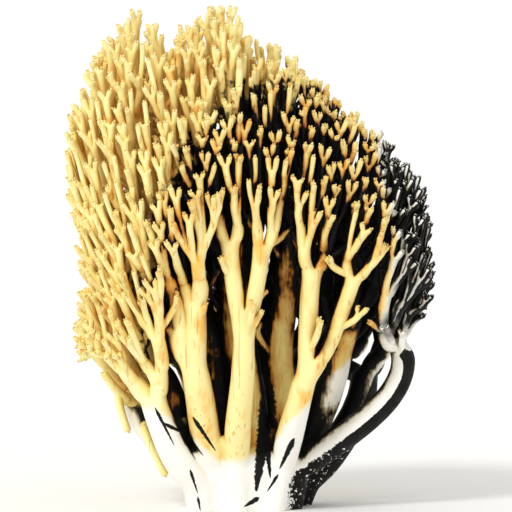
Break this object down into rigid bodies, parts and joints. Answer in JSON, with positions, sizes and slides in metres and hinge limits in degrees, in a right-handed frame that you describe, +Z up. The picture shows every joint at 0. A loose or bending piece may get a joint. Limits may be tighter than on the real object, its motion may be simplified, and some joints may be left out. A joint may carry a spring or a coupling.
{
  "type": "coral fungus",
  "caption": "Coral fungus with a stout pale stem that forks again and again into a dense crown of upright, blunt-tipped branches.",
  "frame": {"origin": "near the middle of the flat cut under the stem, on the ground", "axes": "+Z up along the stem; -Y towards the viewer of the picture; +X to that viewer's right"},
  "size_m": [0.1198, 0.0884, 0.16],
  "materials": {
    "stem_flesh": "matt, smooth, pale cream flesh",
    "branch_flesh": "matt, smooth, golden ochre flesh"
  },
  "bodies": {
    "root": {"stem": "stem_flesh", "front_left_limb": "branch_flesh", "front_centre_limb": "branch_flesh", "front_right_limb": "branch_flesh", "right_limb": "branch_flesh", "left_limb": "branch_flesh", "lower_left_limb": "branch_flesh", "lower_front_left_limb": "branch_flesh", "upper_left_limb": "branch_flesh", "centre_limb": "branch_flesh", "centre_right_limb": "branch_flesh", "upper_right_limb": "branch_flesh", "back_left_limb": "branch_flesh", "back_centre_limb": "branch_flesh", "back_right_limb": "branch_flesh", "lower_back_right_limb": "branch_flesh", "back_top_limb": "branch_flesh"}
  },
  "joints": []
}
